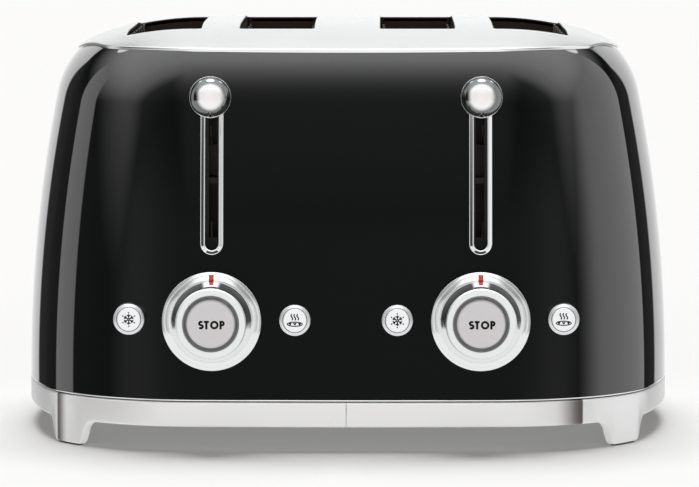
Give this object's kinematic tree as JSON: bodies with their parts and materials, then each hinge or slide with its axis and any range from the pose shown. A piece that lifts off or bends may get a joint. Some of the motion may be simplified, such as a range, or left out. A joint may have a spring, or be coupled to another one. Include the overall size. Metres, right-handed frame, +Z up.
{
  "type": "four-slice toaster",
  "caption": "Pop-up toaster with paired bread wells, two levers with ball knobs, two browning dials with stop buttons, round push buttons and crumb trays that slide out at the rear.",
  "frame": {"origin": "centre of the bounding box in X and Y, on the surface that the foot pads stand on", "axes": "+Z up, -Y towards the user, who sees +X on the right"},
  "size_m": [0.3412, 0.349, 0.2135],
  "materials": {
    "shell_enamel": "high gloss black enamel on steel",
    "plate_steel": "satin brushed stainless steel",
    "chassis_steel": "plain galvanised sheet",
    "trim_chrome": "bright plating",
    "gasket_rubber": "matt black",
    "pad_rubber": "matt black",
    "screw_steel": "zinc plated",
    "shield_sheet": "bright rolled sheet",
    "magnet_iron": "plain iron",
    "board_laminate": "green laminate",
    "seat_plastic": "black moulding",
    "sleeve_chrome": "bright plating",
    "gland_rubber": "matt black",
    "skirt_casting": "polished casting",
    "card_mica": "mica sheet",
    "ribbon_alloy": "bare heating alloy",
    "guard_wire": "plated wire",
    "rack_steel": "plated sheet",
    "carriage_steel": "plated sheet",
    "knob_chrome": "mirror plating",
    "spring_steel": "spring wire",
    "bezel_chrome": "bright plating",
    "channel_plastic": "black moulding",
    "dial_satin": "turned, satin barrel and bright steps",
    "mark_red": "red enamel",
    "cup_grey": "dark grey",
    "button_satin": "satin",
    "tray_steel": "stainless sheet"
  },
  "bodies": {
    "housing": {"housing_shell": "shell_enamel", "top_plate": "plate_steel", "slot_throats": "chassis_steel", "front_bulkhead": "chassis_steel", "rear_bulkhead": "chassis_steel", "base_pan": "chassis_steel", "trim_ring": "trim_chrome", "base_gasket": "gasket_rubber", "foot_pads": "pad_rubber", "base_screws": "screw_steel", "guide_rods": "screw_steel", "heat_shields": "shield_sheet", "centre_shield": "shield_sheet", "holding_magnets": "magnet_iron", "control_board": "board_laminate", "dial_seats": "seat_plastic", "button_sleeves": "sleeve_chrome", "cord_gland": "gland_rubber", "skirt_left": "skirt_casting", "heater_cards_left": "card_mica", "heater_ribbons_left": "ribbon_alloy", "lever_bezel_left": "bezel_chrome", "lever_channel_left": "channel_plastic", "stop_cup_left": "cup_grey", "skirt_right": "skirt_casting", "heater_cards_right": "card_mica", "heater_ribbons_right": "ribbon_alloy", "lever_bezel_right": "bezel_chrome", "lever_channel_right": "channel_plastic", "stop_cup_right": "cup_grey"},
    "lever_left": {"carriage_left": "carriage_steel", "lever_arm_left": "carriage_steel", "ball_knob_left": "knob_chrome", "keeper_left": "magnet_iron", "bread_racks_left": "rack_steel", "return_spring_left": "spring_steel"},
    "guards_left_a": {"guards_left_a": "guard_wire"},
    "guards_left_b": {"guards_left_b": "guard_wire"},
    "dial_left": {"dial_left": "dial_satin", "dial_mark_left": "mark_red"},
    "stop_left": {"stop_button_left": "button_satin"},
    "defrost_left": {"defrost_button_left": "button_satin"},
    "reheat_left": {"reheat_button_left": "button_satin"},
    "tray_left": {"crumb_tray_left": "tray_steel"},
    "lever_right": {"carriage_right": "carriage_steel", "lever_arm_right": "carriage_steel", "ball_knob_right": "knob_chrome", "keeper_right": "magnet_iron", "bread_racks_right": "rack_steel", "return_spring_right": "spring_steel"},
    "guards_right_a": {"guards_right_a": "guard_wire"},
    "guards_right_b": {"guards_right_b": "guard_wire"},
    "dial_right": {"dial_right": "dial_satin", "dial_mark_right": "mark_red"},
    "stop_right": {"stop_button_right": "button_satin"},
    "defrost_right": {"defrost_button_right": "button_satin"},
    "reheat_right": {"reheat_button_right": "button_satin"},
    "tray_right": {"crumb_tray_right": "tray_steel"}
  },
  "joints": [
    {"name": "lever_left", "type": "slide", "parent": "housing", "child": "lever_left", "axis": [0, 0, -1], "range_m": [0, 0.07], "stiffness_N_per_m": 60, "springref_m": -0.12, "deforming": ["return_spring_left"]},
    {"name": "guards_left_a", "type": "slide", "parent": "housing", "child": "guards_left_a", "axis": [1, 0, 0], "range_m": [0, 0.006]},
    {"name": "guards_left_b", "type": "slide", "parent": "housing", "child": "guards_left_b", "axis": [-1, 0, 0], "range_m": [0, 0.006]},
    {"name": "dial_left", "type": "hinge", "parent": "housing", "child": "dial_left", "pos_m": [-0.068, -0.15368, 0.067], "axis": [0, 1, 0], "range_deg": [-135, 135]},
    {"name": "stop_left", "type": "slide", "parent": "housing", "child": "stop_left", "axis": [0, 1, 0], "range_m": [0, 0.002], "stiffness_N_per_m": 300, "springref_m": -0.002},
    {"name": "defrost_left", "type": "slide", "parent": "housing", "child": "defrost_left", "axis": [0, 1, 0], "range_m": [0, 0.0015], "stiffness_N_per_m": 300, "springref_m": -0.002},
    {"name": "reheat_left", "type": "slide", "parent": "housing", "child": "reheat_left", "axis": [0, 1, 0], "range_m": [0, 0.0015], "stiffness_N_per_m": 300, "springref_m": -0.002},
    {"name": "tray_left", "type": "slide", "parent": "housing", "child": "tray_left", "axis": [0, 1, 0], "range_m": [0, 0.16]},
    {"name": "lever_right", "type": "slide", "parent": "housing", "child": "lever_right", "axis": [0, 0, -1], "range_m": [0, 0.07], "stiffness_N_per_m": 60, "springref_m": -0.12, "deforming": ["return_spring_right"]},
    {"name": "guards_right_a", "type": "slide", "parent": "housing", "child": "guards_right_a", "axis": [1, 0, 0], "range_m": [0, 0.006]},
    {"name": "guards_right_b", "type": "slide", "parent": "housing", "child": "guards_right_b", "axis": [-1, 0, 0], "range_m": [0, 0.006]},
    {"name": "dial_right", "type": "hinge", "parent": "housing", "child": "dial_right", "pos_m": [0.068, -0.15368, 0.067], "axis": [0, 1, 0], "range_deg": [-135, 135]},
    {"name": "stop_right", "type": "slide", "parent": "housing", "child": "stop_right", "axis": [0, 1, 0], "range_m": [0, 0.002], "stiffness_N_per_m": 300, "springref_m": -0.002},
    {"name": "defrost_right", "type": "slide", "parent": "housing", "child": "defrost_right", "axis": [0, 1, 0], "range_m": [0, 0.0015], "stiffness_N_per_m": 300, "springref_m": -0.002},
    {"name": "reheat_right", "type": "slide", "parent": "housing", "child": "reheat_right", "axis": [0, 1, 0], "range_m": [0, 0.0015], "stiffness_N_per_m": 300, "springref_m": -0.002},
    {"name": "tray_right", "type": "slide", "parent": "housing", "child": "tray_right", "axis": [0, 1, 0], "range_m": [0, 0.16]}
  ],
  "couplings": [
    {"joint": "guards_left_a", "follows": "lever_left", "ratio": 0.085714},
    {"joint": "guards_left_b", "follows": "lever_left", "ratio": 0.085714},
    {"joint": "guards_right_a", "follows": "lever_right", "ratio": 0.085714},
    {"joint": "guards_right_b", "follows": "lever_right", "ratio": 0.085714}
  ]
}
